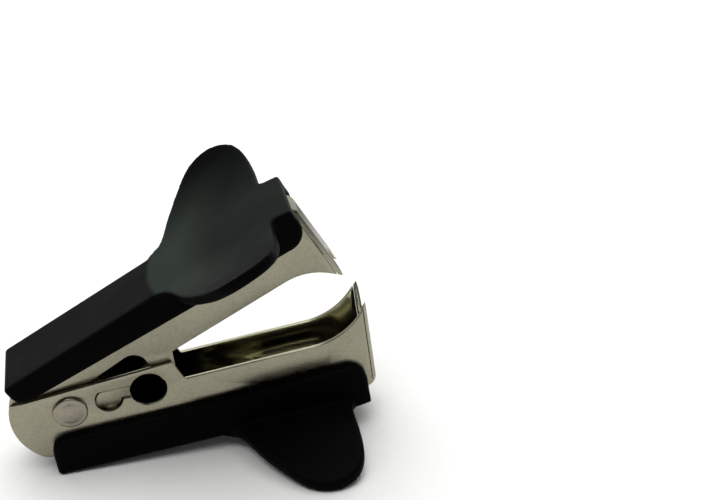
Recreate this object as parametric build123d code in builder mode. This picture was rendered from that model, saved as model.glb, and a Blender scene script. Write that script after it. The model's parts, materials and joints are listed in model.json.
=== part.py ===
"""Jaw-type staple remover: two sheet-steel jaws on a riveted hinge, with winged plastic grips.

Row frame: millimetres, +Z up, +X from the hinge towards the fangs, XZ the mirror plane.
The remover stands open on its lower grip, as it does on a desk.

Every jaw and grip is drawn on its own seat, a plane through the hinge axis: x runs along
the jaw, y across it, and z outwards, away from the other jaw. Heights called "inner" are
measured the other way, from the hinge axis towards the other jaw.
"""

import math
import os

from build123d import *

# ---------------------------------------------------------------- driving dimensions
# pose
HINGE_X = -20.08            # hinge axis in the row frame
HINGE_Z = 10.655
LOWER_TILT = 4.47           # rise of the lower jaw above the desk, in degrees
OPENING = 23.9              # angle between the jaws when the spring holds them open

# sheet steel
SHEET = 0.7
SIDE_GAP = 0.12             # between the side plates of the two jaws
OUTER_HALF = 4.3            # half width over the side plates of the lower, outer jaw
INNER_HALF = OUTER_HALF - SHEET - SIDE_GAP
WEB = 8.2                   # outer face of the web
LONG_BEND = 1.0             # outer radius of the bends along the web
FRONT_BEND = 1.6            # outer radius of the bend between web and front wall
REAR_ROUND = 1.0            # rear corners of the side plates
STEP_ROUND = 0.3            # corners of their step
SEAM = 0.12                 # slit between front wall and side plates

# side plates, seen from the side
REAR_RADIUS = 9.5
REAR_INNER = 3.1            # inner height of the hinge plate at the rear
STEP_INNER = 4.9            # and at the step
STEP_X = 17.1
ARM_X = (18.7, 39.8)
ARM_INNER = (1.3, 1.9)      # inner heights of the arm at those two places
OUTER_FRONT = 49.3          # front wall of the lower jaw
OUTER_TIP = 8.2             # inner height of its fangs
INNER_FRONT = 47.9          # the upper jaw closes behind that wall
INNER_TIP = 7.4
LOBE_RADIUS = 7.35          # upper jaw's hinge lobe, inside the lower jaw
LOBE_START = 210            # where the rear arc drops to it, in degrees about the hinge

# notch between the fangs in a front wall
NOTCH_INNER = 2.4
NOTCH_FLOOR_SHARE = 0.35    # width of its floor as a share of the jaw's width
NOTCH_ROUND = 0.9
FANG_WIDTH = 0.75

# stop tongue and round hole, in the lower jaw's side plate at -Y only
STOP_SIDE = -1
HOLE = (12.7, -0.9)
HOLE_RADIUS = 2.95
TONGUE = (6.3, -0.6)
TONGUE_RADIUS = 2.0
TONGUE_BEND_INNER = 2.3     # inner height of the line it is bent about
TONGUE_NECK = 0.3           # height of the step between tongue and hole, below the tongue's centre
TONGUE_TILT = 10.0
SLIT = 0.24

# window in the upper jaw's side plates, which the tongue moves in
WINDOW_X = (3.9, 14.5)
WINDOW_OUTER = (2.1, 2.45)
WINDOW_STOP_INNER = 3.95    # the tongue meets this edge when the jaws are open
WINDOW_MOUTH_X = 6.1
WINDOW_MOUTH_INNER = 9.0
WINDOW_ROUNDS = (1.0, 2.3)  # upper corners, rear and front

# snap windows in the side plates, under the grips' flanges
SNAP_X = (32.5, 41.0)
LOWER_SNAP = (3.4, 6.6)
UPPER_SNAP = (4.6, 6.9)
SNAP_ROUND = 0.6
SNAP_CLEARANCE = 0.1
BOSS_DEPTH = 0.5            # how far a grip's boss reaches into its window

# hinge rivet
PIN_RADIUS = 1.7
RUNNING_CLEARANCE = 0.05
HEAD_RADIUS = 2.74
HEAD_HEIGHT = 0.55
HEAD_ROUND = 0.35
DOME_RADIUS = 1.9           # low dome in the middle of the head
DOME_HEIGHT = 0.3
BORE_RADIUS = 0.9           # hollow end of the shank, opposite the dome
BORE_DEPTH = 2.4

# torsion spring
WIRE = 0.7
COIL_RADIUS = 2.6
COIL_PITCH = 0.78
WHOLE_TURNS = 3
LEG_REACH = 14.0            # how far along the jaw a leg bears on the web
LEG_HEIGHT = WEB - SHEET - WIRE / 2

# plastic grips
GRIP_HALF = 6.3
LOWER_REAR = -4.2
UPPER_REAR = -5.0
GRIP_FRONT = 47.5
GRIP_OUTER = (10.4, 9.75)   # outer heights of the bar at its rear and its front
BAR_ROUND = 0.7             # edges of its sides, all round
END_ROUND = 0.5
LOWER_FLANGE = (4.1, 2.3)   # heights of the flange's edge at the rear and at the front
UPPER_FLANGE = (6.4, 3.4)
FLANGE_ROUNDS = (2.4, 3.2)  # corners of the flange, rear and front
FIT = 0.02                  # gap between a grip and its jaw

# wings of a grip
WING_OUTLINE = [            # half outline in plan, from the bar's side round the lobe
    (20.5, 6.2),
    (24.6, 7.1),
    (27.3, 11.9),
    (30.7, 17.1),
    (34.2, 20.7),
    (38.4, 21.9),
    (42.4, 20.2),
    (44.0, 15.5),
    (44.1, 8.0),
]
WING_NOTCH_ROUND = 1.1      # corner between a lobe and the nose of the bar
WING_THICKNESS = 1.9
WING_CENTRE = 10.2          # outer height of the flat between the lobes
WING_FLAT_HALF = 4.5
WING_CURVE = 47.0           # radius of the lobes' rise, at mid-thickness
WING_TURN = 30.0            # angle of that arc in degrees, enough to pass the lobes' edges
RAMP_FOOT = (22.7, 9.9)     # the ramp up to the wings starts here on the bar's back
RAMP_SLOPE = 28.0
RAMP_LENGTH = 6.0
NOSE_CREST = (44.0, 10.3)   # the nose slopes down from here to its front edge

REACH = 60.0                # longer than any piece, for cutting tools
NEARLY = 0.01               # tolerance for telling edges apart


# ---------------------------------------------------------------- seats and working planes
def jaw_seat(tilt, outwards):
    """Plane through the hinge axis: x along the jaw, z outwards (1 is up, -1 is down)."""
    angle = math.radians(tilt)
    return Plane(
        origin=(HINGE_X, 0, HINGE_Z),
        x_dir=(math.cos(angle), 0, math.sin(angle)),
        z_dir=(-outwards * math.sin(angle), 0, outwards * math.cos(angle)),
    )


def side_of(seat):
    """Side view of a jaw: x along it, y outwards."""
    return Plane(origin=seat.origin, x_dir=seat.x_dir, z_dir=-seat.y_dir)


def across_at(seat, x):
    """Cross-section of a jaw at x along it: x across, y outwards."""
    return Plane(origin=seat.origin + seat.x_dir * x, x_dir=seat.y_dir, z_dir=seat.x_dir)


def picked(shapes, seat, rule):
    """The edges whose middle, in the seat's coordinates, satisfies the rule."""
    return ShapeList(shape for shape in shapes if rule(seat.to_local_coords(shape @ 0.5)))


def near(vertices, place):
    """The vertex nearest to a place in a sketch."""
    return vertices.sort_by_distance((place[0], place[1], 0))[0]


def on_circle(radius, degrees):
    """Point on a circle about the hinge axis."""
    return (radius * math.cos(math.radians(degrees)), radius * math.sin(math.radians(degrees)))


lower_seat = jaw_seat(LOWER_TILT, -1)
upper_seat = jaw_seat(LOWER_TILT + OPENING, 1)


# ---------------------------------------------------------------- jaws
def channel_core(seat, half, front):
    """The room inside a jaw's channel, which leaves the sheet's thickness around it."""
    with BuildPart() as core:
        with BuildSketch(side_of(seat)):
            with Locations((front - SHEET, WEB - SHEET)):
                Rectangle(2 * REACH, REACH, align=(Align.MAX, Align.MAX))
        extrude(amount=half - SHEET, both=True)
        long_edges = picked(core.edges(), seat, lambda p: p.Z > WEB - SHEET - NEARLY and abs(p.Y) > NEARLY)
        fillet(long_edges, LONG_BEND - SHEET)
        front_edge = picked(
            core.edges(), seat,
            lambda p: p.Z > WEB - SHEET - NEARLY and p.X > front - SHEET - NEARLY and abs(p.Y) < NEARLY,
        )
        fillet(front_edge, FRONT_BEND - SHEET)
    return core.part


def jaw_blank(seat, half, front, tip, inner_edge):
    """A jaw's channel with its front wall and fangs, before any hole is punched."""
    rear_end = 180 + math.degrees(math.asin(REAR_INNER / REAR_RADIUS))
    web_end = 180 - math.degrees(math.asin(WEB / REAR_RADIUS))
    core = channel_core(seat, half, front)
    with BuildPart() as blank:
        with BuildSketch(side_of(seat)) as profile:
            with BuildLine():
                CenterArc((0, 0), REAR_RADIUS, web_end, rear_end - web_end)
                inner_edge(on_circle(REAR_RADIUS, rear_end))
                arm_direction = (ARM_X[1] - ARM_X[0], ARM_INNER[0] - ARM_INNER[1])
                TangentArc((ARM_X[1], -ARM_INNER[1]), (front, -tip), tangent=arm_direction)
                Polyline((front, -tip), (front, WEB), on_circle(REAR_RADIUS, web_end))
            make_face()
            fillet(near(profile.vertices(), on_circle(REAR_RADIUS, rear_end)), REAR_ROUND)
            fillet(near(profile.vertices(), (STEP_X, -STEP_INNER)), STEP_ROUND)
            fillet(near(profile.vertices(), (ARM_X[0], -ARM_INNER[0])), STEP_ROUND)
        extrude(amount=half, both=True)
        long_edges = picked(blank.edges(), seat, lambda p: p.Z > WEB - NEARLY and abs(p.Y) > half - NEARLY)
        fillet(long_edges, LONG_BEND)
        bend_edge = picked(
            blank.edges(), seat, lambda p: p.Z > WEB - NEARLY and p.X > front - NEARLY and abs(p.Y) < NEARLY
        )
        fillet(bend_edge, FRONT_BEND)
        add(core, mode=Mode.SUBTRACT)

        # notch between the two fangs
        floor_half = half * NOTCH_FLOOR_SHARE
        top_half = half - FANG_WIDTH
        spread = (top_half - floor_half) / (tip - NOTCH_INNER)
        mouth = 2 * tip
        with BuildSketch(across_at(seat, front - SHEET - SEAM)):
            with BuildLine():
                Polyline(
                    (-floor_half - spread * (mouth - NOTCH_INNER), -mouth),
                    (-floor_half, -NOTCH_INNER),
                    (floor_half, -NOTCH_INNER),
                    (floor_half + spread * (mouth - NOTCH_INNER), -mouth),
                    close=True,
                )
            notch = make_face()
            fillet(notch.vertices().group_by(Axis.Y)[-1], NOTCH_ROUND)
        extrude(amount=REACH, mode=Mode.SUBTRACT)

        # seam where the front wall stands against the side plates
        with BuildSketch(side_of(seat)):
            with Locations((front - SHEET, WEB - FRONT_BEND)):
                Rectangle(SEAM, REACH, align=(Align.MAX, Align.MAX))
        extrude(amount=REACH, both=True, mode=Mode.SUBTRACT)
    return blank.part


def straight_inner_edge(rear_point):
    """Inner edge of the lower jaw, from the rear arc to the end of the arm."""
    Polyline(
        rear_point,
        (STEP_X, -STEP_INNER),
        (ARM_X[0], -ARM_INNER[0]),
        (ARM_X[1], -ARM_INNER[1]),
    )


def lobed_inner_edge(rear_point):
    """Inner edge of the upper jaw, whose hinge lobe turns inside the lower jaw."""
    lobe_end = -math.degrees(math.asin(WINDOW_STOP_INNER / LOBE_RADIUS)) + 360
    Line(rear_point, on_circle(LOBE_RADIUS, LOBE_START))
    CenterArc((0, 0), LOBE_RADIUS, LOBE_START, lobe_end - LOBE_START)
    Polyline(
        on_circle(LOBE_RADIUS, lobe_end),
        (WINDOW_X[1], -STEP_INNER),
        (STEP_X, -STEP_INNER),
        (ARM_X[0], -ARM_INNER[0]),
        (ARM_X[1], -ARM_INNER[1]),
    )


def snap_window(heights, clearance=0.0):
    """Rounded window in a side plate, or the boss that fills it when given a clearance."""
    width = SNAP_X[1] - SNAP_X[0] - 2 * clearance
    height = heights[1] - heights[0] - 2 * clearance
    with Locations((sum(SNAP_X) / 2, sum(heights) / 2)):
        RectangleRounded(width, height, SNAP_ROUND - clearance)


def tongue_face(growth=0.0):
    """Outline of the stop tongue: a round nose whose neck runs to the hole."""
    bend = -TONGUE_BEND_INNER
    neck = TONGUE[1] + TONGUE_NECK + growth
    nose = TONGUE_RADIUS + growth
    with Locations(TONGUE):
        Circle(nose)
    with Locations((TONGUE[0], neck)):
        Rectangle(HOLE[0] - TONGUE[0], neck - bend, align=(Align.MIN, Align.MAX))
    with Locations((TONGUE[0], bend)):
        Rectangle(REACH, REACH, align=(Align.CENTER, Align.MAX), mode=Mode.SUBTRACT)
    with Locations(HOLE):
        Circle(HOLE_RADIUS - growth, mode=Mode.SUBTRACT)


lower_blank = jaw_blank(lower_seat, OUTER_HALF, OUTER_FRONT, OUTER_TIP, straight_inner_edge)
upper_blank = jaw_blank(upper_seat, INNER_HALF, INNER_FRONT, INNER_TIP, lobed_inner_edge)

lower_side = side_of(lower_seat)
with BuildPart() as lower_jaw:
    add(lower_blank)
    with BuildSketch(lower_side):
        Circle(PIN_RADIUS)
        snap_window(LOWER_SNAP)
    extrude(amount=REACH, both=True, mode=Mode.SUBTRACT)
    with BuildSketch(lower_side):
        tongue_face(SLIT)
    extrude(amount=STOP_SIDE * REACH, mode=Mode.SUBTRACT)
    with BuildSketch(lower_side):
        with Locations(HOLE):
            Circle(HOLE_RADIUS)
    extrude(amount=STOP_SIDE * REACH, mode=Mode.SUBTRACT)

    # the tongue is bent inwards about its top edge, into the upper jaw's window
    bend_place = lower_side.from_local_coords(
        Vector(0, -TONGUE_BEND_INNER, STOP_SIDE * (OUTER_HALF - SHEET / 2))
    )
    along = lower_side.y_dir * math.cos(math.radians(TONGUE_TILT))
    inwards = lower_side.z_dir * (-STOP_SIDE * math.sin(math.radians(TONGUE_TILT)))
    tongue_plane = Plane(
        origin=bend_place + (along + inwards) * TONGUE_BEND_INNER,
        x_dir=lower_side.x_dir,
        z_dir=lower_side.x_dir.cross(along + inwards),
    )
    with BuildSketch(tongue_plane):
        tongue_face()
    extrude(amount=SHEET / 2, both=True)
lower_jaw.part.label = "lower_jaw"

with BuildPart() as upper_jaw:
    add(upper_blank)
    with BuildSketch(side_of(upper_seat)):
        Circle(PIN_RADIUS + RUNNING_CLEARANCE)
        snap_window(UPPER_SNAP)
    extrude(amount=REACH, both=True, mode=Mode.SUBTRACT)
    with BuildSketch(side_of(upper_seat)) as window:
        with BuildLine():
            Polyline(
                (WINDOW_X[0], WINDOW_OUTER[0]),
                (WINDOW_X[1], WINDOW_OUTER[1]),
                (WINDOW_X[1], -WINDOW_MOUTH_INNER),
                (WINDOW_MOUTH_X, -WINDOW_MOUTH_INNER),
                (WINDOW_MOUTH_X, -WINDOW_STOP_INNER),
                (WINDOW_X[0], -WINDOW_STOP_INNER),
                close=True,
            )
        make_face()
        fillet(near(window.vertices(), (WINDOW_X[0], WINDOW_OUTER[0])), WINDOW_ROUNDS[0])
        fillet(near(window.vertices(), (WINDOW_X[1], WINDOW_OUTER[1])), WINDOW_ROUNDS[1])
    extrude(amount=REACH, both=True, mode=Mode.SUBTRACT)
upper_jaw.part.label = "upper_jaw"


# ---------------------------------------------------------------- hinge rivet
rivet_plane = Plane(origin=(HINGE_X, 0, HINGE_Z), x_dir=(0, 1, 0), z_dir=(1, 0, 0))
with BuildPart() as hinge_rivet:
    with BuildSketch(rivet_plane) as section:
        head_end = OUTER_HALF + HEAD_HEIGHT
        dome_curve = (DOME_RADIUS**2 + DOME_HEIGHT**2) / (2 * DOME_HEIGHT)
        with BuildLine():
            RadiusArc((-head_end - DOME_HEIGHT, 0), (-head_end, DOME_RADIUS), dome_curve)
            Polyline(
                (-head_end, DOME_RADIUS),
                (-head_end, HEAD_RADIUS),
                (-OUTER_HALF, HEAD_RADIUS),
                (-OUTER_HALF, PIN_RADIUS),
                (OUTER_HALF, PIN_RADIUS),
                (OUTER_HALF, HEAD_RADIUS),
                (head_end, HEAD_RADIUS),
                (head_end, BORE_RADIUS),
                (head_end - BORE_DEPTH, BORE_RADIUS),
                (head_end - BORE_DEPTH, 0),
                (-head_end - DOME_HEIGHT, 0),
            )
        make_face()
        fillet(near(section.vertices(), (-head_end, HEAD_RADIUS)), HEAD_ROUND)
        fillet(near(section.vertices(), (head_end, HEAD_RADIUS)), HEAD_ROUND)
        fillet(near(section.vertices(), (head_end, BORE_RADIUS)), HEAD_ROUND)
    revolve(axis=Axis(rivet_plane.origin, rivet_plane.x_dir))
hinge_rivet.part.label = "hinge_rivet"


# ---------------------------------------------------------------- torsion spring
# A leg leaves the coil along its tangent and bears on the inside of a web.
leg_angle = math.degrees(math.atan2(LEG_HEIGHT, LEG_REACH))
leg_distance = math.hypot(LEG_REACH, LEG_HEIGHT)
leg_length = math.sqrt(leg_distance**2 - COIL_RADIUS**2)
tangent_turn = math.degrees(math.acos(COIL_RADIUS / leg_distance))
coil_start = LOWER_TILT - leg_angle - tangent_turn
coil_end = LOWER_TILT + OPENING + leg_angle + tangent_turn
coil_turns = WHOLE_TURNS + (coil_start + 360 - coil_end) / 360
coil_length = coil_turns * COIL_PITCH
coil_plane = Plane(
    origin=(HINGE_X, -coil_length / 2, HINGE_Z),
    x_dir=(math.cos(math.radians(coil_start)), 0, math.sin(math.radians(coil_start))),
    z_dir=(0, 1, 0),
)
coil = Helix(COIL_PITCH, coil_length, COIL_RADIUS).moved(coil_plane.location)
with BuildPart() as torsion_spring:
    with BuildLine() as wire:
        add(coil)
        Line(coil @ 0, coil @ 0 - (coil % 0) * leg_length)
        Line(coil @ 1, coil @ 1 + (coil % 1) * leg_length)
    path = wire.wires()[0]
    with BuildSketch(Plane(origin=path @ 0, z_dir=path % 0)):
        Circle(WIRE / 2)
    sweep(path=path)
torsion_spring.part.label = "torsion_spring"


# ---------------------------------------------------------------- grips
def winged_plate(seat):
    """The two wings, one plate with a flat middle and lobes curving outwards to either side."""
    middle = WING_CENTRE - WING_THICKNESS / 2
    with BuildPart() as plate:
        with BuildSketch(across_at(seat, 0)):
            with BuildLine():
                Line((-WING_FLAT_HALF, middle), (WING_FLAT_HALF, middle))
                JernArc((WING_FLAT_HALF, middle), (1, 0), WING_CURVE, WING_TURN)
                JernArc((-WING_FLAT_HALF, middle), (-1, 0), WING_CURVE, -WING_TURN)
            trace(line_width=WING_THICKNESS)
        extrude(amount=REACH)
        with BuildSketch(seat) as plan:
            with BuildLine():
                lobe = Spline(*WING_OUTLINE)
                Line((WING_OUTLINE[0][0], 0), lobe @ 0)
                Polyline(lobe @ 1, (WING_OUTLINE[-1][0], GRIP_HALF), (GRIP_FRONT, GRIP_HALF), (GRIP_FRONT, 0))
                mirror(about=Plane.XZ)
            make_face()
            for side in (-1, 1):
                fillet(near(plan.vertices(), (WING_OUTLINE[-1][0], side * GRIP_HALF)), WING_NOTCH_ROUND)
        extrude(amount=REACH, mode=Mode.INTERSECT)
        # ramp from the bar's back up to the trough
        with BuildSketch(side_of(seat)):
            with Locations(Location((RAMP_FOOT[0], RAMP_FOOT[1], 0), (0, 0, RAMP_SLOPE))):
                Rectangle(REACH, REACH, align=(Align.CENTER, Align.MIN))
            with Locations((RAMP_FOOT[0] + RAMP_LENGTH, 0)):
                Rectangle(2 * REACH, 2 * REACH, align=(Align.MIN, Align.CENTER), mode=Mode.SUBTRACT)
        extrude(amount=REACH, both=True, mode=Mode.SUBTRACT)
        # slope down to the front of the nose
        with BuildSketch(side_of(seat)):
            with BuildLine():
                Polyline(
                    NOSE_CREST,
                    (GRIP_FRONT, GRIP_OUTER[1]),
                    (GRIP_FRONT, NOSE_CREST[1]),
                    close=True,
                )
            make_face()
        extrude(amount=GRIP_HALF + WING_NOTCH_ROUND, both=True, mode=Mode.SUBTRACT)
    return plate.part


def grip(seat, steel_half, rear, flange, snap):
    """A grip: a bar over the web, flanges down the side plates, wings and snap bosses."""
    with BuildPart() as body:
        with BuildSketch(side_of(seat)) as profile:
            with BuildLine():
                Polyline(
                    (rear, flange[0]),
                    (GRIP_FRONT, flange[1]),
                    (GRIP_FRONT, GRIP_OUTER[1]),
                    (rear, GRIP_OUTER[0]),
                    close=True,
                )
            make_face()
            fillet(near(profile.vertices(), (rear, flange[0])), FLANGE_ROUNDS[0])
            fillet(near(profile.vertices(), (GRIP_FRONT, flange[1])), FLANGE_ROUNDS[1])
            fillet(near(profile.vertices(), (rear, GRIP_OUTER[0])), END_ROUND)
            fillet(near(profile.vertices(), (GRIP_FRONT, GRIP_OUTER[1])), END_ROUND)
        extrude(amount=GRIP_HALF, both=True)
        bar_edges = picked(
            body.edges(), seat, lambda p: p.Z > GRIP_OUTER[1] - END_ROUND and abs(p.Y) > GRIP_HALF - NEARLY
        )
        fillet(bar_edges, BAR_ROUND)
        add(winged_plate(seat))
        # room for the steel channel
        with BuildSketch(across_at(seat, -REACH)):
            with Locations((0, WEB)):
                Rectangle(2 * (steel_half + FIT), REACH, align=(Align.CENTER, Align.MAX))
        extrude(amount=2 * REACH, mode=Mode.SUBTRACT)
        for side in (-1, 1):
            with BuildSketch(side_of(seat).offset(side * (steel_half + FIT))):
                snap_window(snap, SNAP_CLEARANCE)
            extrude(amount=-side * BOSS_DEPTH)
    return body.part


lower_grip = grip(lower_seat, OUTER_HALF, LOWER_REAR, LOWER_FLANGE, LOWER_SNAP)
lower_grip.label = "lower_grip"
upper_grip = grip(upper_seat, INNER_HALF, UPPER_REAR, UPPER_FLANGE, UPPER_SNAP)
upper_grip.label = "upper_grip"


# ---------------------------------------------------------------- export
os.makedirs("parts", exist_ok=True)
for piece in (lower_jaw.part, upper_jaw.part, hinge_rivet.part, torsion_spring.part, lower_grip, upper_grip):
    export_step(piece, f"parts/{piece.label}.step")
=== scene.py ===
"""Looks of the staple remover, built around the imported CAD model. Metres, in the CAD's own frame."""
import json
import math

import bmesh
import bpy
from mathutils import Matrix, Vector


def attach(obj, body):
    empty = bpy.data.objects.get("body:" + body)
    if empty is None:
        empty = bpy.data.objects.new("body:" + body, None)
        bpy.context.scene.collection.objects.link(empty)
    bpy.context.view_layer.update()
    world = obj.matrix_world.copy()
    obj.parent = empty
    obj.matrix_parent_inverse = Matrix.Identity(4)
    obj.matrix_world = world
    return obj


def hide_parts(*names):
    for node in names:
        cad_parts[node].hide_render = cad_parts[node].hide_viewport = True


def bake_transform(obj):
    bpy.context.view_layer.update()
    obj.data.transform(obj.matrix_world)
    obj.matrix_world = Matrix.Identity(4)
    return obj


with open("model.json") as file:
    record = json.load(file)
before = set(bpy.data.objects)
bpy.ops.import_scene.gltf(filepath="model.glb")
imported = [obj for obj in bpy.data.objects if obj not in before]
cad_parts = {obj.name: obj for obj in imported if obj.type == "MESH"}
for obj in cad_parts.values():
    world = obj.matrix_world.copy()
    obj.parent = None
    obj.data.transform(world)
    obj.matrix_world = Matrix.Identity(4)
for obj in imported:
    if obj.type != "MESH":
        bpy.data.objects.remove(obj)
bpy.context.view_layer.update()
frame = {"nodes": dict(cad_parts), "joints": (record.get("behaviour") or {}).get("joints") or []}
nodes = frame["nodes"]
hinge = Vector(frame["joints"][0]["pos_m"])
MM = 0.001

# ---------------------------------------------------------------- sizes the looks need
# jaws
OUTER_INSIDE = 3.6 * MM     # half width inside the lower jaw's side plates
OUTER_HALF = 4.3 * MM       # half width over the lower jaw's side plates
INNER_INSIDE = 2.78 * MM    # half width inside the upper jaw's side plates
LOWER_TILT = 4.47           # the lower jaw's slope at rest, in degrees
HOLE_ALONG = 12.7 * MM      # the round hole's centre, from the hinge along the lower jaw
HOLE_ABOVE = 0.9 * MM
HOLE_RADIUS = 2.955 * MM    # a hair over the CAD's, so that the whole rim is recut
EDGE_BREAK = 0.07 * MM      # width of the broken edges on the steel
SHARP = 32.0                # edges that turn more than this, in degrees, are sharp
FLAT = 0.3                  # and faces that turn less than this are one face
WELD = 0.002 * MM           # vertices closer than this are one
ROUND_STEPS = 96            # sides of a finely cut circle

# rivet
PIN_RADIUS = 1.7 * MM
HEAD_RADIUS = 2.74 * MM
HEAD_HEIGHT = 0.55 * MM
HEAD_ROUND = 0.35 * MM
DOME_RADIUS = 1.9 * MM
DOME_HEIGHT = 0.3 * MM
BORE_RADIUS = 0.9 * MM
BORE_DEPTH = 2.4 * MM

# spring and grips
VOXEL = 0.2 * MM            # cell of the remeshed grips
WING_ROOT = 7.0 * MM        # half width past which a grip is all wing
EDGE_PASSES = 4             # smoothing passes that soften every edge of a grip
RIM_PASSES = 18             # and more that roll over the rims of its wings

# ---------------------------------------------------------------- colours and their places
STEEL = (0.32, 0.300, 0.225)
RIVET = (0.30, 0.272, 0.22)
WIRE = (0.24, 0.23, 0.20)
PAINTED_INNER_LIGHT = (1.95, 2.02, 2.12)      # steel's tone is multiplied by this on inner faces, as painted light,
PAINTED_HINGE_SHADE = (0.04, 0.037, 0.03)        # by this round the hinge inside the jaws, as painted shade,
PAINTED_NOSE_REFLECTION = (0.42, 0.40, 0.36)    # and by this on the front walls, as a painted dark reflection
WALL_FADE = (0.1 * MM, 0.02 * MM)   # where inner faces begin, past the half width inside
TAIL_END = 5.0 * MM         # the painted shade leaves the jaws' tails bare as far as this from the hinge
HINGE_SHADE_FULL = 8.5 * MM      # from here on there is painted shade
HINGE_SHADE_START = 19.5 * MM    # which thins out from here
HINGE_SHADE_END = 28.0 * MM      # to here
NOSE_START = 40.0 * MM      # the painted dark reflection on the jaws' front begins this far from the hinge
NOSE_FADE = 2.0 * MM
BLACK = (0.0006, 0.0009, 0.0006)
PALER_BLACK = (0.0009, 0.0013, 0.0009)
RUBBED_EDGE = (0.005, 0.006, 0.005)
# pale painted sheen on the grips' finger rests, where they face outward
FINGER_REST_SHEEN = (0.0160, 0.0215, 0.0180)
SHEEN_START = 24.0 * MM      # the painted sheen on the grips' finger rests begins this far from the hinge
SHEEN_BOW = 30.0             # how far its edge bows, per metre of width squared
SHEEN_FADE = 12.0 * MM       # how far the painted sheen reaches
SHEEN_SIDES = (19.0 * MM, 8.0 * MM)  # half widths between which it fades in


# ---------------------------------------------------------------- node helpers
def node(tree, kind, inputs=None, **settings):
    """Adds a shader node, sets its properties, and fills or links its inputs."""
    made = tree.nodes.new(kind)
    for name, value in settings.items():
        setattr(made, name, value)
    for name, value in (inputs or {}).items():
        if isinstance(value, bpy.types.NodeSocket):
            tree.links.new(value, made.inputs[name])
        else:
            made.inputs[name].default_value = value
    return made


def ramp(tree, factor, stops):
    """A colour ramp: stops are (position, colour) or (position, grey)."""
    made = node(tree, "ShaderNodeValToRGB", {"Fac": factor})
    elements = made.color_ramp.elements
    while len(elements) < len(stops):
        elements.new(0.5)
    for element, (position, value) in zip(elements, stops):
        element.position = position
        element.color = (*value, 1) if isinstance(value, tuple) else (value, value, value, 1)
    return made.outputs["Color"]


def noise(tree, vector, scale, detail, rough):
    inputs = {"Vector": vector, "Scale": scale, "Detail": detail, "Roughness": rough}
    return node(tree, "ShaderNodeTexNoise", inputs).outputs["Fac"]


def mix_colour(tree, factor, a, b, blend="MIX"):
    """Mixes two colours, each a colour or a socket."""
    made = node(tree, "ShaderNodeMix", data_type="RGBA", blend_type=blend)
    for socket, value in (("Factor_Float", factor), ("A_Color", a), ("B_Color", b)):
        found = [s for s in made.inputs if s.identifier == socket][0]
        if isinstance(value, bpy.types.NodeSocket):
            tree.links.new(value, found)
        elif isinstance(value, tuple):
            found.default_value = (*value, 1)
        else:
            found.default_value = value
    return [s for s in made.outputs if s.identifier == "Result_Color"][0]


def maths(tree, operation, a, b=0.0):
    return node(tree, "ShaderNodeMath", {0: a, 1: b}, operation=operation).outputs[0]


def absolute(tree, value):
    return maths(tree, "ABSOLUTE", value)


def product(tree, a, b):
    return maths(tree, "MULTIPLY", a, b)


def map_range(tree, value, start, end):
    """0 at start, 1 at end."""
    inputs = {"Value": value, "From Min": start, "From Max": end}
    return node(tree, "ShaderNodeMapRange", inputs).outputs["Result"]


def axes(tree, vector):
    """A vector's X, Y and Z outputs."""
    return node(tree, "ShaderNodeSeparateXYZ", {"Vector": vector}).outputs


def from_hinge(tree, place):
    """Distance from the hinge axis."""
    flat = node(tree, "ShaderNodeVectorMath", {0: place, 1: (1, 0, 1)}, operation="MULTIPLY").outputs[0]
    made = node(tree, "ShaderNodeVectorMath", {0: flat, 1: (hinge.x, 0, hinge.z)}, operation="DISTANCE")
    return made.outputs["Value"]


def new_material(name):
    made = bpy.data.materials.new(name)
    made.use_nodes = True
    return made, made.node_tree, made.node_tree.nodes["Principled BSDF"]


def finish_surface(tree, shader, tone, rough, height, strength, distance):
    """Links colour, roughness and bump to the shader."""
    tree.links.new(tone, shader.inputs["Base Color"])
    tree.links.new(rough, shader.inputs["Roughness"])
    bump = node(tree, "ShaderNodeBump", {"Height": height, "Strength": strength, "Distance": distance})
    tree.links.new(bump.outputs["Normal"], shader.inputs["Normal"])


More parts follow.
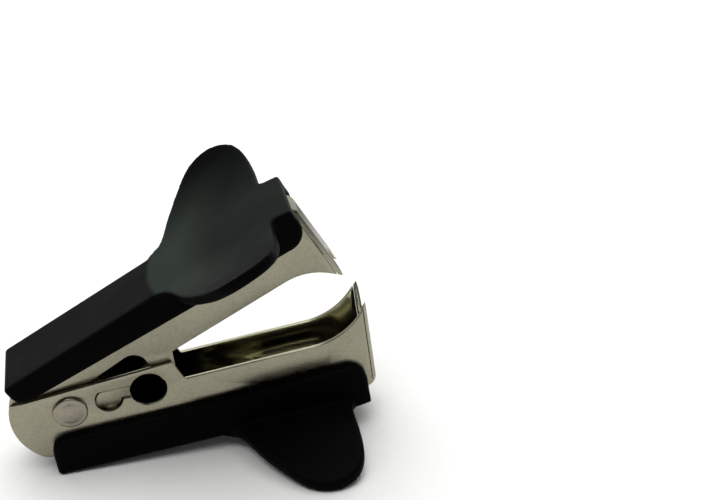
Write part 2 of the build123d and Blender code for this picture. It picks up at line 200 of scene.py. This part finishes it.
# ---------------------------------------------------------------- materials
def satin_steel(name, colour, inside=None):
    """Rolled sheet with a satin nickel plate: fine rolling lines along the jaw, faint cloudiness.

    inside is the half width between the side plates: the faces there were never tumbled, so
    they are smoother. The side plates' faces there are painted brighter, as painted light, and
    round the spring they are painted dark, as painted shade. The front wall is painted darker,
    as a painted dark reflection."""
    material, tree, shader = new_material(name)
    coordinates = node(tree, "ShaderNodeTexCoord")
    place = coordinates.outputs["Object"]
    stretched = node(tree, "ShaderNodeMapping", {"Vector": place, "Scale": (60, 900, 900)}).outputs["Vector"]
    lines = noise(tree, stretched, 6.0, 3.0, 0.6)
    cloud = noise(tree, place, 130.0, 3.0, 0.55)
    specks = noise(tree, place, 2400.0, 2.0, 0.5)
    darker = tuple(c * 0.92 for c in colour)
    paler = tuple(c * 1.06 for c in colour)
    tone = ramp(tree, cloud, [(0.3, darker), (0.7, paler)])
    tone = mix_colour(tree, 0.35, tone, ramp(tree, lines, [(0.25, 0.86), (0.75, 1.0)]), "MULTIPLY")
    tone = mix_colour(tree, 0.5, tone, ramp(tree, specks, [(0.35, 0.80), (0.55, 1.0)]), "MULTIPLY")
    rough = ramp(tree, cloud, [(0.25, 0.24), (0.8, 0.33)])
    rough = mix_colour(tree, 0.3, rough, ramp(tree, lines, [(0.2, 0.18), (0.8, 0.42)]))
    height = maths(tree, "ADD", product(tree, lines, 0.6), product(tree, specks, 0.4))
    strength = 0.12
    if inside is not None:
        sideways = absolute(tree, axes(tree, coordinates.outputs["Normal"])["Y"])
        reach = from_hinge(tree, place)
        # painted shade darkens the inner faces round the hinge
        hinge_shade_mask = product(tree, map_range(tree, reach, HINGE_SHADE_END, HINGE_SHADE_START),
                         map_range(tree, reach, TAIL_END, HINGE_SHADE_FULL))
        depth = absolute(tree, axes(tree, place)["Y"])
        inner = map_range(tree, depth, inside + WALL_FADE[0], inside + WALL_FADE[1])
        inner = product(tree, inner, maths(tree, "MAXIMUM", map_range(tree, sideways, 0.5, 0.7), hinge_shade_mask))
        # painted light brightens the side plates' inner faces, and painted shade darkens the inner faces
        # round the hinge
        inner_light_and_shade = mix_colour(tree, hinge_shade_mask, PAINTED_INNER_LIGHT, PAINTED_HINGE_SHADE)
        tone = mix_colour(tree, inner, tone, mix_colour(tree, 1.0, tone, inner_light_and_shade, "MULTIPLY"))
        # painted dark reflection on the front walls
        nose = product(tree, map_range(tree, reach, NOSE_START, NOSE_START + NOSE_FADE),
                       map_range(tree, sideways, 0.7, 0.5))
        tone = mix_colour(tree, nose, tone, mix_colour(tree, 1.0, tone, PAINTED_NOSE_REFLECTION, "MULTIPLY"))
        rough = mix_colour(tree, inner, rough, (0.12, 0.12, 0.12))
        strength = product(tree, maths(tree, "SUBTRACT", 1.0, inner), strength)
    shader.inputs["Metallic"].default_value = 1.0
    finish_surface(tree, shader, tone, rough, height, strength, 0.02 * MM)
    return material


def moulded_plastic(name, outward):
    """Black moulded plastic with a fine spark-eroded grain; edges a little rubbed, and the finger rests
    painted with a pale sheen.

    outward is 1 where the finger rests face up, and -1 where they face down."""
    material, tree, shader = new_material(name)
    coordinates = node(tree, "ShaderNodeTexCoord")
    place = coordinates.outputs["Object"]
    grain = noise(tree, place, 3800.0, 3.0, 0.6)
    cloud = noise(tree, place, 160.0, 4.0, 0.6)
    geometry = node(tree, "ShaderNodeNewGeometry")
    wear = ramp(tree, geometry.outputs["Pointiness"], [(0.50, 0.0), (0.60, 1.0)])
    wear = product(tree, wear, 0.5)
    tone = ramp(tree, cloud, [(0.3, BLACK), (0.7, PALER_BLACK)])
    tone = mix_colour(tree, wear, tone, RUBBED_EDGE)
    # painted sheen on the outward faces of the finger rests
    across = axes(tree, place)["Y"]
    bow = product(tree, product(tree, across, across), SHEEN_BOW)
    along = maths(tree, "SUBTRACT", from_hinge(tree, place), bow)
    sheen = ramp(tree, map_range(tree, along, SHEEN_START, SHEEN_START + SHEEN_FADE),
                [(0.0, 0.0), (0.07, 1.0), (0.5, 1.0), (0.75, 0.6), (1.0, 0.3)])
    facing = product(tree, axes(tree, coordinates.outputs["Normal"])["Z"], outward)
    sheen = product(tree, sheen, map_range(tree, facing, 0.2, 0.6))
    sheen = product(tree, sheen, map_range(tree, absolute(tree, across), *SHEEN_SIDES))
    tone = mix_colour(tree, sheen, tone, FINGER_REST_SHEEN)
    rough = ramp(tree, cloud, [(0.3, 0.46), (0.7, 0.56)])
    rough = mix_colour(tree, wear, rough, (0.34, 0.34, 0.34))
    shader.inputs["Specular IOR Level"].default_value = 0.02
    finish_surface(tree, shader, tone, rough, grain, 0.8, 0.03 * MM)
    return material


rivet_steel = satin_steel("rivet_steel", RIVET)
lower_plastic = moulded_plastic("lower_grip_plastic", -1)
upper_plastic = moulded_plastic("upper_grip_plastic", 1)
for name, material in (("lower_jaw", satin_steel("lower_steel", STEEL, OUTER_INSIDE)),
                       ("upper_jaw", satin_steel("upper_steel", STEEL, INNER_INSIDE)),
                       ("hinge_rivet", rivet_steel),
                       ("torsion_spring", satin_steel("wire_steel", WIRE)),
                       ("lower_grip", lower_plastic),
                       ("upper_grip", upper_plastic)):
    nodes[name].data.materials.clear()
    nodes[name].data.materials.append(material)


# ---------------------------------------------------------------- mesh helpers
def new_piece(name, mesh):
    piece = bpy.data.objects.new(name, mesh)
    bpy.context.scene.collection.objects.link(piece)
    return piece


def with_modifiers(piece):
    """The piece's mesh with its modifiers applied; the piece is left without them."""
    mesh = bpy.data.meshes.new_from_object(piece.evaluated_get(bpy.context.evaluated_depsgraph_get()))
    piece.modifiers.clear()
    return mesh


def shade(shape, mesh):
    """Writes the shape to the mesh, smooth but for its sharp edges."""
    for face in shape.faces:
        face.smooth = True
    shape.to_mesh(mesh)
    shape.free()
    mesh.set_sharp_from_angle(angle=math.radians(SHARP))


# ---------------------------------------------------------------- jaws with tumbled edges
def recut_hole(piece):
    """Recuts the round hole in the near side plate, whose CAD mesh has few sides."""
    shape = bmesh.new()
    bmesh.ops.create_cone(shape, cap_ends=True, segments=ROUND_STEPS,
                          radius1=HOLE_RADIUS, radius2=HOLE_RADIUS, depth=2 * MM)
    bmesh.ops.rotate(shape, matrix=Matrix.Rotation(math.radians(90), 3, "X"), verts=shape.verts[:])
    tilt = Matrix.Rotation(math.radians(-LOWER_TILT), 3, "Y")
    centre = hinge + tilt @ Vector((HOLE_ALONG, 0, HOLE_ABOVE))
    centre.y = -(OUTER_INSIDE + OUTER_HALF) / 2
    bmesh.ops.translate(shape, vec=centre, verts=shape.verts[:])
    cutter = new_piece("hole_cutter", bpy.data.meshes.new("hole_cutter"))
    shape.to_mesh(cutter.data)
    shape.free()
    cut = piece.modifiers.new("hole", "BOOLEAN")
    cut.operation = "DIFFERENCE"
    cut.solver = "EXACT"
    cut.object = cutter
    piece.data = with_modifiers(piece)
    bpy.data.objects.remove(cutter)


def tumbled(name, body, has_hole):
    """A copy of a CAD jaw whose sharp edges are broken, as tumbling leaves them."""
    piece = new_piece(name + "_tumbled", nodes[name].data.copy())
    shape = bmesh.new()
    shape.from_mesh(piece.data)
    bmesh.ops.remove_doubles(shape, verts=shape.verts[:], dist=WELD)
    bmesh.ops.dissolve_limit(shape, angle_limit=math.radians(FLAT),
                             verts=shape.verts[:], edges=shape.edges[:])
    if has_hole:
        shape.to_mesh(piece.data)
        recut_hole(piece)
        shape.clear()
        shape.from_mesh(piece.data)
    sharp = [e for e in shape.edges if e.is_manifold and e.calc_face_angle(0) > math.radians(SHARP)]
    bmesh.ops.bevel(shape, geom=sharp, offset=EDGE_BREAK, offset_type="OFFSET", segments=2, profile=0.5,
                    affect="EDGES", clamp_overlap=False)
    bmesh.ops.triangulate(shape, faces=[f for f in shape.faces if len(f.verts) > 4])
    shade(shape, piece.data)
    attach(piece, body)
    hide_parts(name)


tumbled("lower_jaw", "lower", has_hole=True)
tumbled("upper_jaw", "upper", has_hole=False)


# ---------------------------------------------------------------- rivet, finely turned
def arc(centre, radius, start, end, steps):
    """Profile points (along, out) on an arc; angles in degrees from the along direction."""
    angles = [math.radians(start + (end - start) * i / steps) for i in range(steps + 1)]
    return [(centre[0] + radius * math.cos(a), centre[1] + radius * math.sin(a)) for a in angles]


def turned_rivet():
    """The rivet as a body of revolution about the hinge axis, from its dome to its hollow end."""
    end = OUTER_HALF + HEAD_HEIGHT
    dome_curve = (DOME_RADIUS**2 + DOME_HEIGHT**2) / (2 * DOME_HEIGHT)
    lean = math.degrees(math.asin(DOME_RADIUS / dome_curve))
    shoulder = HEAD_RADIUS - HEAD_ROUND
    profile = arc((dome_curve - DOME_HEIGHT - end, 0), dome_curve, 180, 180 - lean, 12)
    profile += arc((HEAD_ROUND - end, shoulder), HEAD_ROUND, 180, 90, 8)
    profile += [(-OUTER_HALF, HEAD_RADIUS), (-OUTER_HALF, PIN_RADIUS)]
    profile += [(OUTER_HALF, PIN_RADIUS), (OUTER_HALF, HEAD_RADIUS)]
    profile += arc((end - HEAD_ROUND, shoulder), HEAD_ROUND, 90, 0, 8)
    profile += arc((end - HEAD_ROUND, BORE_RADIUS + HEAD_ROUND), HEAD_ROUND, 360, 270, 8)
    profile += [(end - BORE_DEPTH, BORE_RADIUS), (end - BORE_DEPTH, 0)]
    shape = bmesh.new()
    verts = [shape.verts.new(hinge + Vector((0, along, out))) for along, out in profile]
    edges = [shape.edges.new(pair) for pair in zip(verts, verts[1:])]
    bmesh.ops.spin(shape, geom=verts + edges, cent=hinge, axis=(0, 1, 0), angle=math.tau, steps=ROUND_STEPS)
    bmesh.ops.remove_doubles(shape, verts=shape.verts[:], dist=WELD / 2)
    bmesh.ops.recalc_face_normals(shape, faces=shape.faces[:])
    mesh = bpy.data.meshes.new("hinge_rivet_turned")
    shade(shape, mesh)
    mesh.materials.append(rivet_steel)
    piece = new_piece("hinge_rivet_turned", mesh)
    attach(piece, "lower")
    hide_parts("hinge_rivet")


turned_rivet()


# ---------------------------------------------------------------- grips with softened edges
def softened_grip(name, body, material):
    """A copy of the CAD grip with every edge softened, and the rims of its wings rolled over."""
    piece = new_piece(name + "_moulding", nodes[name].data.copy())
    remesh = piece.modifiers.new("remesh", "REMESH")
    remesh.mode = "VOXEL"
    remesh.voxel_size = VOXEL
    remesh.use_smooth_shade = True
    mesh = with_modifiers(piece)
    shape = bmesh.new()
    shape.from_mesh(mesh)
    wings = [v for v in shape.verts if abs(v.co.y) > WING_ROOT]
    for verts, passes in ((shape.verts[:], EDGE_PASSES), (wings, RIM_PASSES)):
        for _ in range(passes):
            bmesh.ops.smooth_vert(shape, verts=verts, factor=0.5,
                                  use_axis_x=True, use_axis_y=True, use_axis_z=True)
    shape.to_mesh(mesh)
    shape.free()
    piece.data = mesh
    mesh.materials.clear()
    mesh.materials.append(material)
    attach(piece, body)
    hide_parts(name)


softened_grip("lower_grip", "lower", lower_plastic)
softened_grip("upper_grip", "upper", upper_plastic)


# ---------------------------------------------------------------- spring
def winding_spring():
    """A copy of the CAD spring, with its placement baked into its mesh."""
    spring = new_piece("spring_winding", nodes["torsion_spring"].data.copy())
    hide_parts("torsion_spring")
    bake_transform(spring)


winding_spring()


# ---------------------------------------------------------------- camera
lens = bpy.data.cameras.new("camera")
lens.lens = 69.85
lens.sensor_width = 36
camera = new_piece("camera", lens)
camera.location = hinge + Vector((13.95, -187.26, 124.94)) * MM
camera.rotation_euler = [math.radians(a) for a in (60.929, 2.821, -11.688)]
bpy.context.scene.camera = camera

# ---------------------------------------------------------------- floor and light
bpy.ops.mesh.primitive_plane_add(size=4, location=(0, 0, 0))
floor = bpy.context.object
floor.name = "floor"
floor_material, tree, shader = new_material("floor")
paper = noise(tree, node(tree, "ShaderNodeTexCoord").outputs["Object"], 900.0, 3.0, 0.6)
paper_white = ramp(tree, paper, [(0.2, (0.80, 0.80, 0.79)), (0.8, (0.84, 0.84, 0.83))])
tree.links.new(paper_white, shader.inputs["Base Color"])
shader.inputs["Roughness"].default_value = 0.7
floor.data.materials.append(floor_material)

world = bpy.data.worlds.new("world")
world.use_nodes = True
world.node_tree.nodes["Background"].inputs["Color"].default_value = (1, 1, 1, 1)
world.node_tree.nodes["Background"].inputs["Strength"].default_value = 0.15
bpy.context.scene.world = world
bpy.context.scene.view_settings.view_transform = "Standard"


def softbox(name, place, aim, size, energy, colour):
    light = bpy.data.lights.new(name, "AREA")
    light.color = colour
    light.shape = "RECTANGLE"
    light.size, light.size_y = size
    light.energy = energy
    made = new_piece(name, light)
    made.location = place
    made.rotation_euler = (Vector(aim) - Vector(place)).to_track_quat("-Z", "Y").to_euler()


softbox("overhead", (-0.05, 0.05, 0.8), (0, 0, 0), (1.1, 0.9), 9.5, (1, 1, 1))
softbox("behind", (0, 0.75, 0.38), (0, 0, 0.1), (1.8, 0.7), 6.0, (0.96, 1.0, 0.95))
